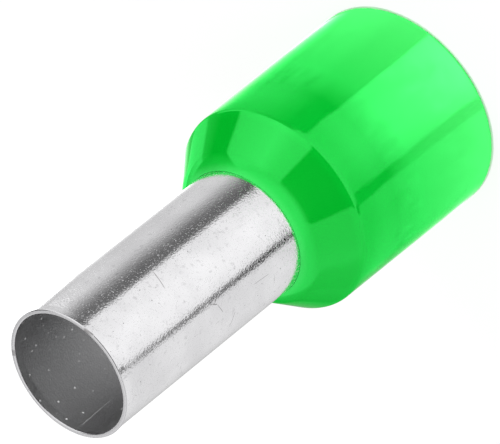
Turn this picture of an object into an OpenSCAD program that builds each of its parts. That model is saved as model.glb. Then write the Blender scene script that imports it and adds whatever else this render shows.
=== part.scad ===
// Insulated wire ferrule for a 16 mm2 stranded conductor: a plated copper sleeve pressed into a moulded
// plastic collar. It stands on the collar's mouth, centred on the origin, with the bare sleeve pointing up.

/* [Metal sleeve] */
// Inside diameter of the sleeve, which takes the stripped strands
sleeve_bore_d = 5.8; // [5.2:0.1:6.2]
// Thickness of the sleeve's wall
sleeve_wall = 0.2; // [0.15:0.01:0.3]
// Length of sleeve that stands clear of the collar
bare_l = 12; // [8:0.5:20]
// How far the cut end at the tip is turned out
tip_flare = 0.04; // [0.02:0.01:0.08]
// Length of the part of the tip that is turned out
tip_flare_l = 0.4; // [0.3:0.05:0.8]
// Radius of the soft bend where the tip turns out
tip_bend_r = 1; // [0.4:0.1:1.2]
// Length of the bell at the wire end, measured along its wall from the end of its bend
bell_l = 0.8; // [0.4:0.05:1.1]
// Rounding of the sleeve's cut edges
cut_edge_r = 0.06; // [0.03:0.01:0.07]

/* [Plastic collar] */
// Length of the collar, from its mouth to its front edge
collar_l = 11.5; // [10:0.5:16]
// Inside diameter of the skirt, which takes the wire's insulation
skirt_bore_d = 9; // [8.4:0.1:10.5]
// Thickness of the skirt at the mouth
skirt_wall = 0.55; // [0.5:0.05:0.9]
// How much thinner the skirt is at the shoulder than at the mouth
skirt_taper = 0.09; // [0.01:0.01:0.2]
// Length of the cone, from the shoulder to the lip
cone_l = 1.95; // [1.8:0.05:2.4]
// Thickness of the cone, measured square to its face
cone_wall = 0.8; // [0.6:0.05:0.9]
// Height of the lip, which slopes from the end of the cone to the front edge
lip_l = 0.2; // [0.1:0.02:0.26]
// Thickness of the collar around the sleeve at the end of the cone
lip_wall = 0.45; // [0.4:0.02:0.6]
// Length of the straight neck that grips the sleeve, behind the front edge
grip_l = 0.13; // [0.1:0.01:0.2]
// Rounding between the cone and the lip
lip_round_r = 1.5; // [0.3:0.1:1.5]
// Rounding of the shoulder
shoulder_round_r = 0.3; // [0.1:0.05:0.8]
// Rounding of the mouth's outer edge
mouth_round_r = 0.22; // [0.1:0.02:0.25]
// Rounding of the mouth's inner edge, which guides the wire in
lead_in_r = 0.15; // [0.05:0.02:0.2]
// Rounding of the front edge
neck_edge_r = 0.03; // [0.02:0.01:0.08]

/* [Fit] */
// Clearance between the sleeve and the collar, on each side
grip_gap = 0.02; // [0.01:0.01:0.04]

/* [Hidden] */

// Facets round the ferrule, and steps in each rounded corner
$fn = 96;
corner_steps = 6;

bore_r = sleeve_bore_d / 2;
sleeve_r = bore_r + sleeve_wall;
total_l = collar_l + bare_l;

neck_r = sleeve_r + grip_gap;
front_r = neck_r + lip_wall;
skirt_bore_r = skirt_bore_d / 2;
mouth_r = skirt_bore_r + skirt_wall;
shoulder_r = mouth_r - skirt_taper;
shoulder_z = collar_l - lip_l - cone_l;
cone_angle = atan((shoulder_r - front_r) / cone_l);
bell_depth = cone_wall + grip_gap;

// Tilt of the lip's face, and a rounding that fits on that face
lip_angle = atan(lip_wall / lip_l);
lip_face = norm([lip_wall, lip_l]) - neck_edge_r / tan(lip_angle / 2);
lip_r = min(lip_round_r, 0.95 * lip_face / tan((lip_angle - cone_angle) / 2));

// Height at which a face that lies at a depth below the cone's outer face, and follows it, has radius r
function cone_z(r, depth) = shoulder_z + (shoulder_r - depth / cos(cone_angle) - r) / tan(cone_angle);

// Bend from the neck to the bell, which starts at the end of the straight neck, and its radius outside the sleeve
bend_l = collar_l - grip_l - cone_z(sleeve_r, bell_depth);
bend_r = bend_l / tan(cone_angle / 2);

// Arc that rounds the corner b between points a and c, as a list of points
function rounded(a, b, c, r) =
    let (
        to_a = (a - b) / norm(a - b),
        to_c = (c - b) / norm(c - b),
        half = acos(to_a * to_c) / 2,
        middle = (to_a + to_c) / norm(to_a + to_c),
        centre = b + middle * r / sin(half),
        first = b + to_a * r / tan(half) - centre,
        last = b + to_c * r / tan(half) - centre
    )
    [for (i = [0 : corner_steps])
        let (
            share = i / corner_steps,
            turn = 180 - 2 * half
        )
        centre + (first * sin(turn * (1 - share)) + last * sin(turn * share)) / sin(turn)
    ];

// Closed outline through corners of the form [radius, height, rounding], where a rounding of 0 stays sharp
function outline(corners) =
    let (
        count = len(corners),
        point = [for (corner = corners) [corner[0], corner[1]]]
    )
    [for (i = [0 : count - 1])
        each corners[i][2] > 0
            ? rounded(point[(i + count - 1) % count], point[i], point[(i + 1) % count], corners[i][2])
            : [point[i]]
    ];

// Tin-plated copper tube, belled inside the collar so that it can't pull out forwards
module metal_sleeve() {
    outer_knee = [sleeve_r, cone_z(sleeve_r, bell_depth)];
    inner_knee = [bore_r, cone_z(bore_r, bell_depth + sleeve_wall)];
    bell_outer = outer_knee + (bend_l + bell_l) * [sin(cone_angle), -cos(cone_angle)];
    bell_inner = bell_outer - sleeve_wall * [cos(cone_angle), sin(cone_angle)];
    flare_z = total_l - tip_flare_l;
    color([0.83, 0.83, 0.84])
        rotate_extrude()
            polygon(outline([
                [bell_outer[0], bell_outer[1], cut_edge_r],
                [outer_knee[0], outer_knee[1], bend_r],
                [sleeve_r, flare_z, tip_bend_r],
                [sleeve_r + tip_flare, total_l, cut_edge_r],
                [bore_r + tip_flare, total_l, cut_edge_r],
                [bore_r, flare_z, tip_bend_r],
                [inner_knee[0], inner_knee[1], bend_r + sleeve_wall],
                [bell_inner[0], bell_inner[1], cut_edge_r]
            ]));
}

// Moulded collar: a neck round the sleeve, a cone, and a skirt that is open for the insulated wire
module plastic_collar() {
    color([0.13, 0.83, 0.29])
        rotate_extrude()
            polygon(outline([
                [skirt_bore_r, 0, lead_in_r],
                [mouth_r, 0, mouth_round_r],
                [shoulder_r, shoulder_z, shoulder_round_r],
                [front_r, collar_l - lip_l, lip_r],
                [neck_r, collar_l, neck_edge_r],
                [neck_r, cone_z(neck_r, cone_wall), bend_r - grip_gap],
                [skirt_bore_r, cone_z(skirt_bore_r, cone_wall), 0]
            ]));
}

metal_sleeve();
plastic_collar();
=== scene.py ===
"""Dresses a 16 mm2 insulated wire ferrule: tin-plated sleeve, moulded collar, and a plain white studio."""

import logging
from dataclasses import dataclass
from enum import Enum
from math import atan, cos, pi, radians, sin, tan
from typing import Sequence, Union

import bmesh
import bpy
from mathutils import Matrix, Vector


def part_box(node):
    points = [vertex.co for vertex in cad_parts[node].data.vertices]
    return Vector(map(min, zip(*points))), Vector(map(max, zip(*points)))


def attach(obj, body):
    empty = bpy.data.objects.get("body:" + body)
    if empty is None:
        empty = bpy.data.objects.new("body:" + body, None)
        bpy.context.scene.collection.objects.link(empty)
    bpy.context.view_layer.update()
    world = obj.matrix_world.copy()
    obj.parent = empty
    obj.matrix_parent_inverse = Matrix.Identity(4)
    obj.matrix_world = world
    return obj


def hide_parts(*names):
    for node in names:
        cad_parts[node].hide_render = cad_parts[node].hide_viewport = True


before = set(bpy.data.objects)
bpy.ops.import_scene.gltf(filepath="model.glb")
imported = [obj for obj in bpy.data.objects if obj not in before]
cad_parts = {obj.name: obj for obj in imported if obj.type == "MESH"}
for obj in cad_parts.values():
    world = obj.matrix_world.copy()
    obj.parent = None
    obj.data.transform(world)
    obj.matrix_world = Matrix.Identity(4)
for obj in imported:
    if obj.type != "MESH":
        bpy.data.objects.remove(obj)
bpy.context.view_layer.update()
LOG = logging.getLogger("wire_ferrule")

MM = 0.001
MICRON = 0.001 * MM
FULL_TURN = 2 * pi
CARD_STEPS = 96
DISC_SEGMENTS = 64

Value = Union[float, Sequence[float], bpy.types.NodeSocket]
Colour = tuple[float, float, float, float]
Greys = tuple[tuple[float, float], ...]

BLACK: Colour = (0, 0, 0, 1)


class Slot(Enum):
    """The record's material slots."""

    METAL = "tinned_copper"
    PLASTIC = "green_plastic"


class Rays(Enum):
    """The kinds of ray that show the floor and the background, unlike those that carry their light."""

    CAMERA = "Is Camera Ray"
    GLOSSY = "Is Glossy Ray"
    TRANSMISSION = "Is Transmission Ray"


class Sum(Enum):
    """Arithmetic that a material's nodes do."""

    ADD = "ADD"
    SUBTRACT = "SUBTRACT"
    MULTIPLY = "MULTIPLY"
    DIVIDE = "DIVIDE"
    GREATEST = "MAXIMUM"
    SIZE_ONLY = "ABSOLUTE"
    ABOVE = "GREATER_THAN"
    TURN = "ARCTAN2"
    SINE = "SINE"
    COSINE = "COSINE"
    ARCSINE = "ARCSINE"


def direction(azimuth: float, elevation: float = 0.0) -> Vector:
    """Points away from the ferrule's axis.

    Args:
        azimuth: Degrees round the axis, with 0 towards -Y and 90 towards +X.
        elevation: Degrees above the floor.

    Returns:
        A unit vector.
    """
    turn, rise = radians(azimuth), radians(elevation)
    return Vector((sin(turn) * cos(rise), -cos(turn) * cos(rise), sin(rise)))


def neutral(level: float) -> Colour:
    """Makes a grey, with the same level in all three colours."""
    return (level, level, level, 1)


class Graph:
    """The node tree of a material or a world, filled one node at a time."""

    def __init__(self, owner: Union[bpy.types.Material, bpy.types.World]) -> None:
        """Empties the owner's node tree.

        Args:
            owner: The material or the world that the nodes belong to.
        """
        owner.use_nodes = True
        self.tree = owner.node_tree
        self.tree.nodes.clear()

    def add(
        self, kind: str, inputs: dict[str | int, Value] | None = None, **settings: object
    ) -> bpy.types.Node:
        """Adds a node.

        Args:
            kind: Blender's name for the kind of node.
            inputs: Values or sockets for the node's inputs, by the input's name or number.
            **settings: The node's own properties.

        Returns:
            The new node.
        """
        node = self.tree.nodes.new(kind)
        for name, value in settings.items():
            setattr(node, name, value)
        for name, value in (inputs or {}).items():
            self.feed(node.inputs[name], value)
        return node

    def feed(self, socket: bpy.types.NodeSocket, value: Value) -> None:
        """Gives an input its value.

        Args:
            socket: The input.
            value: A number, a colour, or another node's output to link.
        """
        if isinstance(value, bpy.types.NodeSocket):
            self.tree.links.new(value, socket)
        else:
            socket.default_value = value

    def sums(self, kind: Sum, first: Value, second: Value = 0.0, clamp: bool = False) -> bpy.types.NodeSocket:
        """Does one step of arithmetic.

        Args:
            kind: The step.
            first: The first number.
            second: The second number, where the step has one.
            clamp: Whether the result is kept between 0 and 1.

        Returns:
            The result's output.
        """
        node = self.add("ShaderNodeMath", operation=kind.value, use_clamp=clamp)
        self.feed(node.inputs[0], first)
        self.feed(node.inputs[1], second)
        return node.outputs["Value"]

    def blend(self, share: Value, low: Value, high: Value) -> bpy.types.NodeSocket:
        """Mixes two colours.

        Args:
            share: How much of the second colour there is, from 0 to 1.
            low: The colour at 0.
            high: The colour at 1.

        Returns:
            The mixed colour's output.
        """
        node = self.add("ShaderNodeMix", data_type="RGBA")
        colour_inputs = [socket for socket in node.inputs if socket.type == "RGBA"]
        self.feed(node.inputs["Factor"], share)
        self.feed(colour_inputs[0], low)
        self.feed(colour_inputs[1], high)
        return next(socket for socket in node.outputs if socket.type == "RGBA")

    def between(self, share: Value, low: Value, high: Value) -> bpy.types.NodeSocket:
        """Mixes two numbers.

        Args:
            share: How much of the second number there is, from 0 to 1.
            low: The number at 0.
            high: The number at 1.

        Returns:
            The mixed number's output.
        """
        node = self.add("ShaderNodeMix", {0: share}, data_type="FLOAT")
        self.feed(node.inputs["A"], low)
        self.feed(node.inputs["B"], high)
        return node.outputs["Result"]

    def ease(
        self, value: Value, start: Value, end: Value, low: float = 0.0, high: float = 1.0
    ) -> bpy.types.NodeSocket:
        """Runs smoothly from one number to another.

        Args:
            value: What it follows.
            start: The value at which it leaves the low number.
            end: The value at which it reaches the high number.
            low: The number before the start.
            high: The number after the end.

        Returns:
            The number's output.
        """
        node = self.add("ShaderNodeMapRange", interpolation_type="SMOOTHSTEP")
        for name, number in (
            ("Value", value), ("From Min", start), ("From Max", end), ("To Min", low), ("To Max", high)
        ):
            self.feed(node.inputs[name], number)
        return node.outputs["Result"]

    def noise(self, place: bpy.types.NodeSocket, grain: float, detail: float) -> bpy.types.NodeSocket:
        """Makes soft noise.

        Args:
            place: The coordinates that it follows.
            grain: The size of its grain, in metres.
            detail: How many finer layers it has.

        Returns:
            The noise's output, from 0 to 1.
        """
        node = self.add("ShaderNodeTexNoise", {"Vector": place, "Scale": 1 / grain, "Detail": detail})
        return node.outputs["Fac"]

    def ramp(
        self, value: bpy.types.NodeSocket, colours: Sequence[tuple[float, Colour]]
    ) -> bpy.types.NodeSocket:
        """Turns a number into a colour.

        Args:
            value: The number, from 0 to 1.
            colours: The stops, each a position and a colour.

        Returns:
            The colour's output.
        """
        node = self.add("ShaderNodeValToRGB", {"Fac": value})
        stops = node.color_ramp.elements
        for place, (position, colour) in enumerate(colours):
            stop = stops[place] if place < len(stops) else stops.new(position)
            stop.position = position
            stop.color = colour
        return node.outputs["Color"]

    def azimuth(self, place: bpy.types.NodeSocket) -> bpy.types.NodeSocket:
        """Finds how far round the ferrule's axis a point is.

        Args:
            place: The point's object coordinates.

        Returns:
            The azimuth's output, in radians, with 0 towards -Y and a quarter turn towards +X.
        """
        parts = self.add("ShaderNodeSeparateXYZ", {"Vector": place})
        return self.sums(Sum.TURN, parts.outputs["X"], self.sums(Sum.MULTIPLY, parts.outputs["Y"], -1.0))

    def reach(self, place: bpy.types.NodeSocket) -> bpy.types.NodeSocket:
        """Finds how far from the ferrule's axis a point is.

        Args:
            place: The point's object coordinates.

        Returns:
            The distance's output, in metres.
        """
        flat = self.add("ShaderNodeVectorMath", {0: place, 1: (1, 1, 0)}, operation="MULTIPLY")
        length = self.add("ShaderNodeVectorMath", {0: flat.outputs["Vector"]}, operation="LENGTH")
        return length.outputs["Value"]

    def place(self) -> bpy.types.NodeSocket:
        """Gives the object coordinates of the point that is shaded."""
        return self.add("ShaderNodeTexCoord").outputs["Object"]

    def height(self, place: bpy.types.NodeSocket) -> bpy.types.NodeSocket:
        """Gives the height of a point's object coordinates, in metres above the floor."""
        return self.add("ShaderNodeSeparateXYZ", {"Vector": place}).outputs["Z"]

    def bump(
        self, height: Value, depth: float, below: bpy.types.NodeSocket | None = None
    ) -> bpy.types.NodeSocket:
        """Gives a surface a fine relief.

        Args:
            height: The relief, from 0 to 1.
            depth: How far 1 stands above 0, in metres.
            below: The normal's output of the relief that this one lies on, if there is one.

        Returns:
            The normal's output.
        """
        node = self.add("ShaderNodeBump", {"Height": height, "Distance": depth})
        if below is not None:
            self.feed(node.inputs["Normal"], below)
        return node.outputs["Normal"]

    def surface(self, shader: bpy.types.NodeSocket) -> None:
        """Makes a shader the surface of the material."""
        self.add("ShaderNodeOutputMaterial", {"Surface": shader})


@dataclass(frozen=True)
class Grain:
    """Noise that shows in a finish where it is strong, between its faint and its full level."""

    size: float
    detail: float
    faint: float
    full: float

    def mask(self, graph: Graph, place: bpy.types.NodeSocket) -> bpy.types.NodeSocket:
        """Shows from 0 to 1 how strong the noise is at some object coordinates."""
        return graph.ease(graph.noise(place, self.size, self.detail), self.faint, self.full)


@dataclass(frozen=True)
class Spots:
    """Small scattered spots, such as pits in the plating or dust in the bore.

    The pitch is the size of the cells that may hold one spot each, the rarity is the share of cells that
    hold none, and the radius and the full core of a spot are shares of the pitch and of the radius.
    """

    pitch: float
    rarity: float
    radius: float
    core: float = 0.4

    def mask(self, graph: Graph, place: bpy.types.NodeSocket) -> bpy.types.NodeSocket:
        """Shows where the spots are.

        Args:
            graph: The material's nodes.
            place: Object coordinates.

        Returns:
            An output that is 1 in a spot and 0 away from it.
        """
        cells = graph.add("ShaderNodeTexVoronoi", {"Vector": place, "Scale": 1 / self.pitch})
        chosen = graph.add("ShaderNodeSeparateColor", {"Color": cells.outputs["Color"]})
        present = graph.sums(Sum.ABOVE, chosen.outputs["Red"], self.rarity)
        near = graph.ease(cells.outputs["Distance"], self.radius, self.core * self.radius)
        return graph.sums(Sum.MULTIPLY, present, near)


@dataclass(frozen=True)
class Scratch:
    """A fine line in the sleeve's plating, with its azimuth and its tilt in degrees.

    Each of its ends fades over a share of its length.
    """

    azimuth: float
    height: float
    length: float
    tilt: float
    width: float = 0.035 * MM
    fading: float = 0.2

    def mask(
        self, graph: Graph, azimuth: bpy.types.NodeSocket, height: bpy.types.NodeSocket, radius: float
    ) -> bpy.types.NodeSocket:
        """Shows where the scratch is.

        Args:
            graph: The material's nodes.
            azimuth: Radians round the axis.
            height: Metres above the floor.
            radius: The sleeve's radius.

        Returns:
            An output that is 1 in the scratch and 0 away from it.
        """
        along = graph.sums(Sum.MULTIPLY, graph.sums(Sum.SUBTRACT, azimuth, radians(self.azimuth)), radius)
        up = graph.sums(Sum.SUBTRACT, height, self.height)
        turn = radians(self.tilt)
        lengthways = graph.sums(
            Sum.ADD, graph.sums(Sum.MULTIPLY, along, cos(turn)), graph.sums(Sum.MULTIPLY, up, sin(turn))
        )
        across = graph.sums(
            Sum.SUBTRACT, graph.sums(Sum.MULTIPLY, up, cos(turn)), graph.sums(Sum.MULTIPLY, along, sin(turn))
        )
        off_middle, off_line = (graph.sums(Sum.SIZE_ONLY, way) for way in (lengthways, across))
        half = self.length / 2
        in_length = graph.ease(off_middle, half, half - self.fading * self.length)
        in_width = graph.ease(off_line, self.width, 0)
        return graph.sums(Sum.MULTIPLY, in_length, in_width)


@dataclass(frozen=True)
class TinPlate:
    """Satin tin plate on drawn copper tube, dull inside the bore, where a darker grey paints shade into the
    recess.
    """

    bore_radius: float
    sleeve_radius: float
    tip_height: float
    scratches: tuple[Scratch, ...] = ()
    bright: Colour = (0.92, 0.915, 0.93, 1)
    clouded: Colour = (0.84, 0.835, 0.85, 1)
    scuffed: Colour = (0.76, 0.755, 0.77, 1)
    cut: Colour = (0.68, 0.675, 0.69, 1)
    # Painted shade: the bore's grey is darker than the plate outside, to darken the recess
    bore: Colour = (0.63, 0.63, 0.635, 1)
    dust: Colour = (0.8, 0.8, 0.8, 1)
    pit: Colour = (0.28, 0.27, 0.27, 1)
    outside_roughness: float = 0.1
    speck_roughness: float = 0.42
    bore_roughness: float = 0.4
    clouds: Grain = Grain(1.6 * MM, 4, 0.35, 0.7)
    scuffs: Grain = Grain(0.24 * MM, 3, 0.6, 0.7)
    specks: Grain = Grain(0.07 * MM, 1, 0.58, 0.68)
    pits: Spots = Spots(0.3 * MM, 0.75, 0.11)
    dust_spots: Spots = Spots(0.4 * MM, 0.35, 0.17)
    scratch_strength: float = 0.8
    bore_scratch_strength: float = 0.6
    bore_fade: tuple[float, float] = (0.06 * MM, 0.015 * MM)
    cut_fade: tuple[float, float] = (0.07 * MM, 0.04 * MM)
    wave_size: float = 1.4 * MM
    wave_depth: float = 4 * MICRON
    grain_size: float = 0.09 * MM
    grain_depth: float = 6 * MICRON
    mark_depth: float = 4 * MICRON

    def make(self) -> bpy.types.Material:
        """Makes the plating's material.

        Returns:
            The material.
        """
        material = bpy.data.materials.new("tin_plate")
        graph = Graph(material)
        place = graph.place()
        height = graph.height(place)
        in_bore = graph.ease(graph.reach(place), *(self.bore_radius + depth for depth in self.bore_fade))
        at_tip = graph.ease(height, *(self.tip_height - depth for depth in self.cut_fade))
        scored = self.scored(graph, graph.azimuth(place), height)
        marks = graph.sums(Sum.GREATEST, self.pits.mask(graph, place), scored)
        plate = graph.blend(self.clouds.mask(graph, place), self.bright, self.clouded)
        worn = graph.blend(self.scuffs.mask(graph, place), plate, self.scuffed)
        outside = graph.blend(marks, graph.blend(at_tip, worn, self.cut), self.pit)
        rough = graph.between(self.specks.mask(graph, place), self.outside_roughness, self.speck_roughness)
        streaks = graph.sums(Sum.MULTIPLY, scored, self.bore_scratch_strength)
        loose = graph.sums(Sum.GREATEST, self.dust_spots.mask(graph, place), streaks)
        dusty = graph.sums(Sum.MULTIPLY, loose, in_bore)
        # Inside the bore the base colour turns to the darker bore grey, which is painted shade, with dust
        # over it
        shader = graph.add("ShaderNodeBsdfPrincipled", {
            "Base Color": graph.blend(in_bore, outside, graph.blend(dusty, self.bore, self.dust)),
            "Metallic": graph.sums(Sum.SUBTRACT, 1.0, dusty),
            "Roughness": graph.between(in_bore, rough, self.bore_roughness),
            "Normal": self.relief(graph, place, marks),
        })
        graph.surface(shader.outputs["BSDF"])
        return material

    def scored(
        self, graph: Graph, azimuth: bpy.types.NodeSocket, height: bpy.types.NodeSocket
    ) -> bpy.types.NodeSocket:
        """Adds up the scratches.

        Args:
            graph: The material's nodes.
            azimuth: Radians round the axis.
            height: Metres above the floor.

        Returns:
            An output that is near 1 in a scratch and 0 away from them all.
        """
        total: Value = 0.0
        for scratch in self.scratches:
            total = graph.sums(Sum.GREATEST, total, scratch.mask(graph, azimuth, height, self.sleeve_radius))
        return graph.sums(Sum.MULTIPLY, total, self.scratch_strength)

    def relief(
        self, graph: Graph, place: bpy.types.NodeSocket, marks: bpy.types.NodeSocket
    ) -> bpy.types.NodeSocket:
        """Roughens the plating with its slow waves, its fine grain and its marks.

        Args:
            graph: The material's nodes.
            place: Object coordinates.
            marks: An output that is 1 in a pit or scratch.

        Returns:
            The normal's output.
        """
        waves = graph.bump(graph.noise(place, self.wave_size, detail=1), self.wave_depth)
        grain = graph.bump(graph.noise(place, self.grain_size, detail=2), self.grain_depth, waves)
        return graph.bump(graph.sums(Sum.SUBTRACT, 1.0, marks), self.mark_depth, grain)


@dataclass(frozen=True)
class GreenPlastic:
    """Glossy green polypropylene, whose colour has painted light in it: paler where the collar is empty and
    at the front lip, where light comes through its thin wall.
    """

    collar_length: float
    # Colour stops up the collar: the paler ones towards the mouth and at the lip and front are painted light
    front: Colour = (0.038, 0.64, 0.09, 1)
    lip: Colour = (0.008, 0.53, 0.042, 1)
    cone: Colour = (0.001, 0.445, 0.022, 1)
    shoulder: Colour = (0.002, 0.54, 0.033, 1)
    waist: Colour = (0.026, 0.77, 0.088, 1)
    skirt: Colour = (0.066, 0.912, 0.146, 1)
    mouth: Colour = (0.087, 0.967, 0.18, 1)
    tint: Colour = (0.06, 0.53, 0.14, 1)
    roughness: float = 0.05
    ior: float = 2.6
    specular: float = 1.0
    wave_size: float = 1.1 * MM
    wave_depth: float = 1.5 * MICRON

    def make(self) -> bpy.types.Material:
        """Makes the plastic's material, whose colour follows the share of the collar's length and carries the
        painted light.

        Returns:
            The material.
        """
        material = bpy.data.materials.new("green_polypropylene")
        graph = Graph(material)
        place = graph.place()
        share = graph.sums(Sum.DIVIDE, graph.height(place), self.collar_length)
        # Painted light: the green runs paler towards the mouth and at the front lip, and is deepest over the
        # shoulder and the cone
        shader = graph.add("ShaderNodeBsdfPrincipled", {
            "Base Color": graph.ramp(share, (
                (0.02, self.mouth), (0.13, self.skirt), (0.46, self.waist), (0.6, self.shoulder),
                (0.79, self.shoulder), (0.84, self.cone), (0.96, self.cone), (0.985, self.lip),
                (1.0, self.front),
            )),
            "Roughness": self.roughness,
            "IOR": self.ior,
            "Specular IOR Level": self.specular,
            "Specular Tint": self.tint,
            "Normal": graph.bump(graph.noise(place, self.wave_size, detail=2), self.wave_depth),
        })
        graph.surface(shader.outputs["BSDF"])
        return material


def place_mesh(name: str, shape: bmesh.types.BMesh, smooth: bool) -> bpy.types.Object:
    """Makes an object at the origin from a finished bmesh.

    Args:
        name: The object's name.
        shape: The bmesh, which is freed.
        smooth: Whether its faces are shaded smooth.

    Returns:
        The object, in the scene.
    """
    for face in shape.faces:
        face.smooth = smooth
    mesh = bpy.data.meshes.new(name)
    shape.to_mesh(mesh)
    shape.free()
    piece = bpy.data.objects.new(name, mesh)
    bpy.context.scene.collection.objects.link(piece)
    return piece


def spin_round(shape: bmesh.types.BMesh, steps: int) -> None:
    """Spins all that a bmesh holds one full turn about the ferrule's axis.

    Args:
        shape: The bmesh.
        steps: How many steps the turn has.
    """
    bmesh.ops.spin(
        shape, geom=shape.verts[:] + shape.edges[:], cent=(0, 0, 0), axis=(0, 0, 1), dvec=(0, 0, 0),
        angle=FULL_TURN, steps=steps, use_merge=True,
    )


@dataclass(frozen=True)
class Corner:
    """A corner of a turned piece's section."""

    radius: float
    height: float
    rounding: float


@dataclass(frozen=True)
class Turned:
    """A solid of revolution about the ferrule's axis."""

    name: str
    corners: tuple[Corner, ...]
    steps: int
    arc_segments: int = 10
    ring_pitch: float = 0.5 * MM
    merge_distance: float = 0.1 * MICRON

    def build(self) -> bpy.types.Object:
        """Spins the section into a closed solid.

        Returns:
            The piece, with its place in its mesh.
        """
        shape = bmesh.new()
        places = [Vector((corner.radius, 0, corner.height)) for corner in self.corners]
        points = [shape.verts.new(place) for place in places]
        shape.faces.new(points)
        for number, (corner, point) in enumerate(zip(self.corners, points)):
            to_last = places[number - 1] - places[number]
            to_next = places[(number + 1) % len(places)] - places[number]
            if corner.rounding > 0:
                bmesh.ops.bevel(
                    shape, geom=[point], offset=corner.rounding / tan(to_last.angle(to_next) / 2),
                    offset_type="OFFSET", segments=self.arc_segments, profile=0.5, affect="VERTICES",
                    clamp_overlap=False, material=-1,
                )
        bmesh.ops.delete(shape, geom=shape.faces[:], context="FACES_ONLY")
        for edge in shape.edges[:]:
            cuts = int(edge.calc_length() / self.ring_pitch)
            if cuts:
                bmesh.ops.subdivide_edges(shape, edges=[edge], cuts=cuts)
        spin_round(shape, self.steps)
        bmesh.ops.remove_doubles(shape, verts=shape.verts[:], dist=self.merge_distance)
        bmesh.ops.recalc_face_normals(shape, faces=shape.faces[:])
        return place_mesh(self.name, shape, smooth=True)


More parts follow.
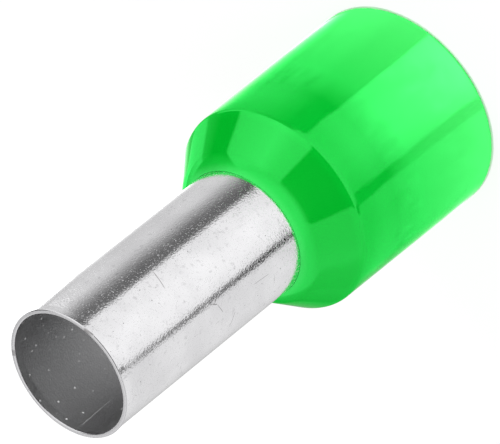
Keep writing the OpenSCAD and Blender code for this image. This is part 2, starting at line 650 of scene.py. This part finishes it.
@dataclass
class Ferrule:
    """The ferrule: a belled metal sleeve in a moulded collar that stands on its mouth."""

    total_length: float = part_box("metal_sleeve")[1].z
    collar_length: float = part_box("plastic_collar")[1].z
    mouth_radius: float = 5.05 * MM
    sleeve_bore: float = 2.9 * MM
    sleeve_wall: float = 0.2 * MM
    tip_flare: float = 0.04 * MM
    tip_flare_length: float = 0.4 * MM
    tip_bend: float = 1.0 * MM
    bell_length: float = 0.8 * MM
    cut_edge: float = 0.06 * MM
    skirt_wall: float = 0.55 * MM
    skirt_taper: float = 0.09 * MM
    cone_length: float = 1.95 * MM
    cone_wall: float = 0.8 * MM
    lip_height: float = 0.2 * MM
    lip_wall: float = 0.45 * MM
    grip_length: float = 0.13 * MM
    grip_gap: float = 0.001 * MM
    lip_round: float = 1.55 * MM
    shoulder_round: float = 0.3 * MM
    mouth_round: float = 0.22 * MM
    lead_in: float = 0.15 * MM
    neck_edge: float = 0.02 * MM
    inner_corner: float = 0.05 * MM
    steps: int = 256

    def __post_init__(self) -> None:
        """Works out the sizes that the pieces share."""
        self.sleeve_radius = self.sleeve_bore + self.sleeve_wall
        self.neck_radius = self.sleeve_radius + self.grip_gap
        self.front_radius = self.neck_radius + self.lip_wall
        self.shoulder_radius = self.mouth_radius - self.skirt_taper
        self.shoulder_height = self.collar_length - self.lip_height - self.cone_length
        self.cone_angle = atan((self.shoulder_radius - self.front_radius) / self.cone_length)
        self.bell_depth = self.cone_wall + self.grip_gap
        bend_start = self.collar_length - self.grip_length
        self.bend_length = bend_start - self.cone_height(self.sleeve_radius, self.bell_depth)
        self.bend = self.bend_length / tan(self.cone_angle / 2)

    def cone_height(self, radius: float, depth: float) -> float:
        """Finds a point on a face that follows the cone inside it.

        Args:
            radius: The point's distance from the axis.
            depth: How deep the face lies below the cone's outer face.

        Returns:
            The point's height.
        """
        reach = self.shoulder_radius - depth / cos(self.cone_angle) - radius
        return self.shoulder_height + reach / tan(self.cone_angle)

    def sleeve(self) -> bpy.types.Object:
        """Builds the metal sleeve, with its bell inside the collar and its cut end at the tip.

        Returns:
            The sleeve.
        """
        outer_knee = Vector((self.sleeve_radius, self.cone_height(self.sleeve_radius, self.bell_depth)))
        inner_depth = self.bell_depth + self.sleeve_wall
        inner_knee = Vector((self.sleeve_bore, self.cone_height(self.sleeve_bore, inner_depth)))
        down_bell = Vector((sin(self.cone_angle), -cos(self.cone_angle)))
        through_wall = Vector((cos(self.cone_angle), sin(self.cone_angle)))
        bell_outer = outer_knee + (self.bend_length + self.bell_length) * down_bell
        bell_inner = bell_outer - self.sleeve_wall * through_wall
        flare = self.total_length - self.tip_flare_length
        return Turned("tin_plated_sleeve", (
            Corner(*bell_outer, self.cut_edge),
            Corner(*outer_knee, self.bend),
            Corner(self.sleeve_radius, flare, self.tip_bend),
            Corner(self.sleeve_radius + self.tip_flare, self.total_length, self.cut_edge),
            Corner(self.sleeve_bore + self.tip_flare, self.total_length, self.cut_edge),
            Corner(self.sleeve_bore, flare, self.tip_bend),
            Corner(*inner_knee, self.bend + self.sleeve_wall),
            Corner(*bell_inner, self.cut_edge),
        ), self.steps).build()

    def collar(self) -> bpy.types.Object:
        """Builds the plastic collar: its skirt, its cone and the neck that grips the sleeve.

        Returns:
            The collar.
        """
        skirt_bore = self.mouth_radius - self.skirt_wall
        knee, roof = (self.cone_height(radius, self.cone_wall) for radius in (self.neck_radius, skirt_bore))
        return Turned("moulded_collar", (
            Corner(skirt_bore, 0, self.lead_in),
            Corner(self.mouth_radius, 0, self.mouth_round),
            Corner(self.shoulder_radius, self.shoulder_height, self.shoulder_round),
            Corner(self.front_radius, self.collar_length - self.lip_height, self.lip_round),
            Corner(self.neck_radius, self.collar_length, self.neck_edge),
            Corner(self.neck_radius, knee, self.bend - self.grip_gap),
            Corner(skirt_bore, roof, self.inner_corner),
        ), self.steps).build()

    def dress(self) -> None:
        """Builds both pieces, gives each its finish, and puts each on the body in place of its CAD node."""
        plating = TinPlate(self.sleeve_bore, self.sleeve_radius, self.total_length, scratches=(
            Scratch(13.5, 18.9 * MM, 1.1 * MM, -14),
            Scratch(-30, 17.2 * MM, 0.5 * MM, 63, 0.025 * MM),
            Scratch(-37, 16.9 * MM, 0.6 * MM, 23, 0.025 * MM),
            Scratch(-55, 16.2 * MM, 0.8 * MM, 150, 0.025 * MM),
            Scratch(-77, 15.9 * MM, 1.0 * MM, 67, 0.02 * MM),
            Scratch(-40, 14.1 * MM, 1.2 * MM, 86, 0.02 * MM),
            Scratch(-50, 13.3 * MM, 0.6 * MM, 173, 0.02 * MM),
            Scratch(-136, 22.0 * MM, 2.6 * MM, 88),
            Scratch(16, 23.48 * MM, 0.6 * MM, 8, 0.07 * MM),
            Scratch(134, 23.48 * MM, 0.4 * MM, 0, 0.07 * MM),
        ))
        plastic = GreenPlastic(self.collar_length)
        for piece, node, slot, finish in (
            (self.sleeve(), "metal_sleeve", Slot.METAL, plating.make()),
            (self.collar(), "plastic_collar", Slot.PLASTIC, plastic.make()),
        ):
            piece.data.materials.append(finish)
            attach(piece, "root")
            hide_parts(node)
            LOG.info("%s: %d faces, in place of %s", piece.name, len(piece.data.polygons), node)


def for_reflections(card: bpy.types.Object, glow: bpy.types.Material) -> bpy.types.Object:
    """Hides a stage piece from all but glossy rays, and makes it glow.

    Args:
        card: The stage piece.
        glow: Its material.

    Returns:
        The same piece.
    """
    card.data.materials.append(glow)
    card.visible_camera = card.visible_diffuse = card.visible_shadow = False
    card.visible_transmission = card.visible_volume_scatter = False
    return card


def disc(name: str, radius: float, height: float = 0.0) -> bpy.types.Object:
    """Lays a flat round stage piece across the ferrule's axis.

    Args:
        name: The object's name.
        radius: The disc's radius.
        height: Its height above the floor.

    Returns:
        The disc.
    """
    shape = bmesh.new()
    bmesh.ops.create_circle(
        shape, cap_ends=True, segments=DISC_SEGMENTS, radius=radius, matrix=Matrix.Translation((0, 0, height))
    )
    return place_mesh(name, shape, smooth=False)


def spun_card(name: str, start: Vector, end: Vector) -> bpy.types.Object:
    """Spins an edge right round the ferrule.

    Args:
        name: The object's name.
        start: The edge's first end.
        end: The edge's other end.

    Returns:
        The ring that the edge sweeps.
    """
    shape = bmesh.new()
    shape.edges.new([shape.verts.new(start), shape.verts.new(end)])
    spin_round(shape, CARD_STEPS)
    return place_mesh(name, shape, smooth=False)


@dataclass(frozen=True)
class Lamp:
    """A soft square lamp that faces the ferrule."""

    name: str
    azimuth: float
    elevation: float
    level: float
    size: float = 0.25
    distance: float = 0.4

    def light(self) -> None:
        """Hangs the lamp, strong enough to light a facing white surface to its level by itself."""
        lamp = bpy.data.lights.new(self.name, "AREA")
        lamp.size = self.size
        lamp.energy = self.level * pi ** 2 * self.distance ** 2
        holder = bpy.data.objects.new(self.name, lamp)
        away = direction(self.azimuth, self.elevation)
        holder.location = self.distance * away
        holder.rotation_euler = away.to_track_quat("Z", "Y").to_euler()
        holder.visible_glossy = False
        bpy.context.scene.collection.objects.link(holder)


def seen(graph: Graph) -> bpy.types.NodeSocket:
    """Tells the rays that show a thing from those that only carry its light.

    Args:
        graph: The material's or the world's nodes.

    Returns:
        An output that is 1 for the rays that show it and 0 for the rest.
    """
    path = graph.add("ShaderNodeLightPath")
    total: Value = 0.0
    for ray in Rays:
        total = graph.sums(Sum.ADD, total, path.outputs[ray.value], clamp=True)
    return total


@dataclass(frozen=True)
class Stripe:
    """The narrow dark card that draws a stripe along the sleeve, thinner and fainter towards the tip.

    Its azimuth and its half widths are in degrees. It thins and pales between two distances from the axis,
    and pales once more between two others.
    """

    azimuth: float = -51.2
    core: float = 2.8
    wide: float = 7.6
    narrow: float = 6.2
    thinning: tuple[float, float] = (18 * MM, 24 * MM)
    first_paling: tuple[float, float] = (20 * MM, 24 * MM)
    first_strength: float = 0.8
    last_paling: tuple[float, float] = (30 * MM, 34 * MM)
    last_strength: float = 0.65

    def draw(
        self, graph: Graph, ray: bpy.types.NodeSocket, reach: bpy.types.NodeSocket, grey: bpy.types.NodeSocket
    ) -> bpy.types.NodeSocket:
        """Draws the stripe on the sleeve's card.

        Args:
            graph: The card's nodes.
            ray: The azimuth of the mirrored ray, in radians.
            reach: The place's distance from the axis.
            grey: The grey beside the stripe.

        Returns:
            The grey with the stripe in it.
        """
        off_middle = graph.sums(Sum.SIZE_ONLY, graph.sums(Sum.SUBTRACT, ray, radians(self.azimuth)))
        half_width = graph.ease(reach, *self.thinning, radians(self.wide), radians(self.narrow))
        in_stripe = graph.ease(off_middle, half_width, radians(self.core))
        first = graph.ease(reach, *self.first_paling, 1, self.first_strength)
        last = graph.ease(reach, *self.last_paling, 1, self.last_strength)
        strength = graph.sums(Sum.MULTIPLY, in_stripe, graph.sums(Sum.MULTIPLY, first, last))
        return graph.blend(strength, grey, BLACK)


@dataclass
class Studio:
    """A white floor and background, with grey cards on the floor and round it that only reflections show."""

    skirt_radius: float
    sleeve_radius: float
    bore_radius: float
    collar_length: float
    fill: float = 0.6
    floor_radius: float = 1.2
    floor_colour: float = 0.8
    shadow_depth: float = 0.15
    floor_glow: float = 0.84
    shadow_fade: float = 16 * MM
    shadow_end: float = 60 * MM
    brightest: float = 4.0
    ring_inner: float = 5.2 * MM
    ring_height: float = 0.02 * MM
    mouth_fade: float = 5 * MM
    mouth_dimmed: float = 10 * MM
    mouth_reach: float = 11 * MM
    waist_reach: float = 13.5 * MM
    shoulder_fade: float = 14.2 * MM
    shoulder_dimmed: float = 16 * MM
    skirt_reach: float = 16.9 * MM
    sleeve_reach: float = 17.5 * MM
    turned_reach: float = 3.4 * MM
    cards_end: float = 34.9 * MM
    far_start: float = 36.2 * MM
    far_advance: float = 4.0 * MM
    advance_start: float = 138.0
    advance_full: float = 148.0
    wall_distance: float = 150 * MM
    low_row: float = 32 * MM
    high_row: float = 46 * MM
    wall_fade: float = 84 * MM
    wall_height: float = 210 * MM
    wall_top: float = 0.85
    shoulder_dimming: float = 0.3
    mouth_dimming: float = 0.43
    uneven_grain: float = 1.8 * MM
    uneven_turn: float = 7.0
    uneven_reach: float = 7 * MM
    mirror_rounds: int = 3
    bore_grey: float = 0.85
    bore_card_gap: float = 10 * MICRON
    stripe: Stripe = Stripe()
    mouth_greys: Greys = (
        (-180, 1.6), (-168, 2.0), (-152, 1.4), (-110, 1.15), (-53, 1.15), (-50, 0.3), (-40, 0.3), (-37, 1.7),
        (-20, 2.7), (-4, 3.0), (12, 2.8), (24, 2.5), (36, 2.3), (38.5, 2.0), (40.5, 0.15), (72, 0.3),
        (92, 0.85), (130, 1.0), (136, 1.8), (144, 3.3), (160, 4.0), (180, 2.5),
    )
    waist_greys: Greys = (
        (-180, 0.7), (-168, 0.9), (-156, 0.85), (-144, 1.5), (-120, 1.2), (-80, 0.88), (-53, 0.9),
        (-50, 0.05), (-40, 0.05), (-37, 0.8), (-16, 1.2), (0, 1.3), (36, 1.1), (38.5, 1.05), (40.5, 0.0),
        (60, 0.07), (72, 0.35), (92, 0.8), (128, 1.15), (136, 1.6), (150, 2.5), (162, 2.5), (176, 1.2),
        (180, 1.0),
    )
    sleeve_greys: Greys = (
        (-180, 0.45), (-168, 0.52), (-156, 0.68), (-132, 0.78), (-96, 0.83), (-58, 0.81), (-45, 0.9),
        (-24, 0.97), (0, 1.0), (24, 0.94), (44.5, 0.9), (46.8, 0.17), (54, 0.14), (64, 0.15), (72, 0.25),
        (84, 0.46), (96, 0.67), (110, 0.7), (140, 0.63), (148, 0.7), (158, 0.95), (163, 1.9), (170, 2.4),
        (180, 2.4),
    )
    far_greys: Greys = (
        (-180, 0.05), (-168, 0.08), (-156, 0.3), (-144, 0.5), (-130, 0.65), (-46, 0.8), (-30, 1.0),
        (24, 0.95), (45, 0.85), (48, 0.2), (66, 0.2), (80, 0.5), (96, 1.2), (121, 1.3), (123, 0.2),
        (131, 0.45), (133, 1.5), (143, 1.9), (150, 2.5), (180, 2.5),
    )
    low_greys: Greys = (
        (-180, 0.45), (-160, 0.3), (-131, 0.55), (-104, 0.66), (-73, 0.75), (-46, 0.7), (-43.5, 0.0),
        (21.5, 0.0), (23.5, 1.0), (39, 1.15), (56, 1.55), (73, 1.3), (89, 1.1), (99, 1.05), (101, 0.0),
        (118, 0.0), (131, 0.45), (133, 1.4), (150, 1.0), (165, 0.5), (180, 0.45),
    )
    high_greys: Greys = (
        (-180, 0.8), (-131, 1.0), (-104, 0.95), (-73, 0.75), (-46, 0.7), (-43.5, 0.0), (21.5, 0.0),
        (23.5, 1.0), (39, 1.15), (56, 1.55), (73, 1.35), (89, 1.2), (98, 1.1), (101, 0.03), (133, 0.03),
        (140, 0.3), (152, 1.0), (165, 0.6), (180, 0.6),
    )

    def floor(self) -> bpy.types.Object:
        """Lays a white floor that the camera sees as bright as the background, bar the ferrule's shadow.

        Returns:
            The floor.
        """
        floor = disc("floor", self.floor_radius)
        material = bpy.data.materials.new("white_floor")
        graph = Graph(material)
        reach = graph.reach(graph.place())
        shown = graph.sums(Sum.MULTIPLY, seen(graph), graph.sums(Sum.ABOVE, reach, self.skirt_radius))
        colour = graph.blend(shown, neutral(self.floor_colour), neutral(self.shadow_depth))
        matt = graph.add("ShaderNodeBsdfDiffuse", {"Color": colour})
        level = graph.ease(reach, self.shadow_fade, self.shadow_end, self.floor_glow, 1.0)
        glow = graph.add("ShaderNodeEmission", {"Strength": graph.sums(Sum.MULTIPLY, shown, level)})
        both = graph.add("ShaderNodeAddShader", {0: matt.outputs["BSDF"], 1: glow.outputs["Emission"]})
        graph.surface(both.outputs["Shader"])
        floor.data.materials.append(material)
        return floor

    def glow(self, graph: Graph, grey: Value) -> None:
        """Ends a card's nodes with a glow.

        Args:
            graph: The card's nodes.
            grey: The card's grey, as a share of the brightest.
        """
        light = graph.add("ShaderNodeEmission", {"Color": grey, "Strength": self.brightest})
        graph.surface(light.outputs["Emission"])

    def round_about(self, graph: Graph, azimuth: bpy.types.NodeSocket, greys: Greys) -> bpy.types.NodeSocket:
        """Lays greys round the ferrule.

        Args:
            graph: The card's nodes.
            azimuth: Radians round the axis.
            greys: The greys, each after its azimuth in degrees.

        Returns:
            The grey's output, as a share of the brightest.
        """
        share = graph.sums(Sum.ADD, graph.sums(Sum.DIVIDE, azimuth, FULL_TURN), 0.5)
        stops = [(angle / 360 + 0.5, neutral(grey / self.brightest)) for angle, grey in greys]
        return graph.ramp(share, stops)

    def mirrored(
        self, graph: Graph, azimuth: bpy.types.NodeSocket, reach: bpy.types.NodeSocket,
        on_sleeve: bpy.types.NodeSocket,
    ) -> bpy.types.NodeSocket:
        """Finds which way a ray left the ferrule that has reached a place on the floor.

        A ray that an upright wall mirrors outwards leaves at twice the azimuth of the wall's face, and the
        wall stands off the axis, so a card with straight edges needs this to look straight along the wall.

        Args:
            graph: The card's nodes.
            azimuth: The place's azimuth, in radians.
            reach: The place's distance from the axis.
            on_sleeve: 0 where the skirt mirrors the place, and 1 where the sleeve does.

        Returns:
            The ray's azimuth, in radians.
        """
        share = graph.sums(Sum.DIVIDE, graph.between(on_sleeve, self.skirt_radius, self.sleeve_radius), reach)
        ray = azimuth
        for _ in range(self.mirror_rounds):
            offset = graph.sums(Sum.MULTIPLY, share, graph.sums(Sum.SINE, graph.sums(Sum.MULTIPLY, ray, 0.5)))
            ray = graph.sums(Sum.ADD, azimuth, graph.sums(Sum.ARCSINE, offset))
        return ray

    def ring(self) -> bpy.types.Object:
        """Lays the floor's cards: for the skirt, for the sleeve, and for the cone beyond them.

        Returns:
            The ring of cards.
        """
        ends = (Vector((reach, 0, self.ring_height)) for reach in (self.ring_inner, self.wall_distance))
        ring = spun_card("cards_on_the_floor", *ends)
        material = bpy.data.materials.new("floor_cards")
        graph = Graph(material)
        place = graph.place()
        azimuth, reach = graph.azimuth(place), graph.reach(place)
        cosine = graph.sums(Sum.COSINE, graph.sums(Sum.MULTIPLY, azimuth, 0.5))
        turned = graph.sums(Sum.MULTIPLY, graph.sums(Sum.SUBTRACT, 1.0, cosine), self.turned_reach)
        level = graph.sums(Sum.ADD, reach, turned)
        on_sleeve = graph.ease(level, self.skirt_reach, self.sleeve_reach)
        ray = self.mirrored(graph, azimuth, reach, on_sleeve)
        sleeve = self.stripe.draw(graph, ray, reach, self.round_about(graph, ray, self.sleeve_greys))
        near = graph.blend(on_sleeve, self.skirt_cards(graph, place, ray, level), sleeve)
        far = self.round_about(graph, azimuth, self.far_greys)
        turn = (radians(angle) for angle in (self.advance_start, self.advance_full))
        advance = graph.ease(azimuth, *turn, 0.0, self.far_advance)
        in_far = graph.ease(graph.sums(Sum.ADD, level, advance), self.cards_end, self.far_start)
        self.glow(graph, graph.blend(in_far, near, far))
        return for_reflections(ring, material)

    def skirt_cards(
        self, graph: Graph, place: bpy.types.NodeSocket, ray: bpy.types.NodeSocket,
        level: bpy.types.NodeSocket,
    ) -> bpy.types.NodeSocket:
        """Lays the cards for the skirt's mouth and waist, whose edges wander a little.

        Args:
            graph: The card's nodes.
            place: Object coordinates.
            ray: The azimuth of the mirrored ray, in radians.
            level: The place's distance from the axis, a little more on the far side.

        Returns:
            The grey's output, as a share of the brightest.
        """
        uneven = graph.sums(Sum.SUBTRACT, graph.noise(place, self.uneven_grain, detail=3), 0.5)
        ray = graph.sums(Sum.ADD, ray, graph.sums(Sum.MULTIPLY, uneven, radians(self.uneven_turn)))
        reach = graph.sums(Sum.ADD, level, graph.sums(Sum.MULTIPLY, uneven, self.uneven_reach))
        mouth_dimming = graph.ease(reach, self.mouth_fade, self.mouth_dimmed, 0.0, self.mouth_dimming)
        mouth = graph.blend(mouth_dimming, self.round_about(graph, ray, self.mouth_greys), BLACK)
        waist_dimming = graph.ease(
            level, self.shoulder_fade, self.shoulder_dimmed, 0.0, self.shoulder_dimming
        )
        waist = graph.blend(waist_dimming, self.round_about(graph, ray, self.waist_greys), BLACK)
        return graph.blend(graph.ease(reach, self.mouth_reach, self.waist_reach), mouth, waist)

    def card_in_bore(self) -> bpy.types.Object:
        """Puts a card across the sleeve where it leaves the collar, which stands for light from the wire end.

        Returns:
            The card.
        """
        card = disc("card_in_the_bore", self.bore_radius - self.bore_card_gap, self.collar_length)
        material = bpy.data.materials.new("bore_card")
        self.glow(Graph(material), neutral(self.bore_grey / self.brightest))
        return for_reflections(card, material)

    def wall(self) -> bpy.types.Object:
        """Stands the wall of cards round the floor, in two rows that fade to white at the top.

        Returns:
            The wall of cards.
        """
        ends = (Vector((self.wall_distance, 0, end)) for end in (0, self.wall_height))
        wall = spun_card("cards_round_the_floor", *ends)
        material = bpy.data.materials.new("wall_cards")
        graph = Graph(material)
        place = graph.place()
        azimuth, height = graph.azimuth(place), graph.height(place)
        low, high = (self.round_about(graph, azimuth, greys) for greys in (self.low_greys, self.high_greys))
        rows = graph.blend(graph.ease(height, self.low_row, self.high_row), low, high)
        fade = graph.ease(height, self.wall_fade, self.wall_height)
        self.glow(graph, graph.blend(fade, rows, neutral(self.wall_top / self.brightest)))
        return for_reflections(wall, material)

    def world(self) -> None:
        """Makes the background white, and lights the ferrule from all round at the fill's level."""
        world = bpy.data.worlds.new("white_room")
        graph = Graph(world)
        strength = graph.ease(seen(graph), 0, 1, self.fill, 1.0)
        light = graph.add("ShaderNodeBackground", {"Color": (1, 1, 1, 1), "Strength": strength})
        graph.add("ShaderNodeOutputWorld", {"Surface": light.outputs["Background"]})
        bpy.context.scene.world = world

    def build(self) -> None:
        """Sets up the floor, the cards, the lamps and the background."""
        self.world()
        lamps = (
            Lamp("key_lamp", -35, 45, 0.5),
            Lamp("side_lamp", 70, 35, 0.45),
            Lamp("back_lamp", 180, 55, 0.25),
        )
        for lamp in lamps:
            lamp.light()
        for piece in (self.floor(), self.ring(), self.wall(), self.card_in_bore()):
            LOG.info("%s: %d faces, stage", piece.name, len(piece.data.polygons))
        LOG.info("%d lamps", len(lamps))


@dataclass(frozen=True)
class Viewpoint:
    """The photograph's camera, which looks down on the ferrule and is rolled a long way over."""

    aim: tuple[float, float, float] = (0.2162 * MM, 0, 10.7718 * MM)
    azimuth: float = 0.0
    elevation: float = 38.318
    distance: float = 270.187 * MM
    roll: float = -128.72
    lens: float = 448.727
    sensor_width: float = 36.0
    clip_start: float = 10 * MM

    def build(self) -> bpy.types.Object:
        """Sets up the scene's camera.

        Returns:
            The camera.
        """
        back = direction(self.azimuth, self.elevation)
        level_right = Vector((0, 0, 1)).cross(back).normalized()
        level_up = back.cross(level_right)
        turn = radians(self.roll)
        right = level_right * cos(turn) + level_up * sin(turn)
        up = back.cross(right)
        data = bpy.data.cameras.new("camera")
        data.lens = self.lens
        data.sensor_fit = "HORIZONTAL"
        data.sensor_width = self.sensor_width
        data.clip_start = self.clip_start
        camera = bpy.data.objects.new("camera", data)
        turned = Matrix((right, up, back)).transposed().to_4x4()
        camera.matrix_world = Matrix.Translation(Vector(self.aim) + self.distance * back) @ turned
        bpy.context.scene.collection.objects.link(camera)
        bpy.context.scene.camera = camera
        return camera


def main() -> None:
    """Builds the camera, the studio and the ferrule."""
    logging.basicConfig(level=logging.INFO, format="%(name)s: %(message)s")
    Viewpoint().build()
    bpy.context.scene.view_settings.view_transform = "Standard"
    ferrule = Ferrule()
    Studio(ferrule.mouth_radius, ferrule.sleeve_radius, ferrule.sleeve_bore, ferrule.collar_length).build()
    ferrule.dress()
    bpy.context.view_layer.update()


if __name__ == "__main__":
    main()
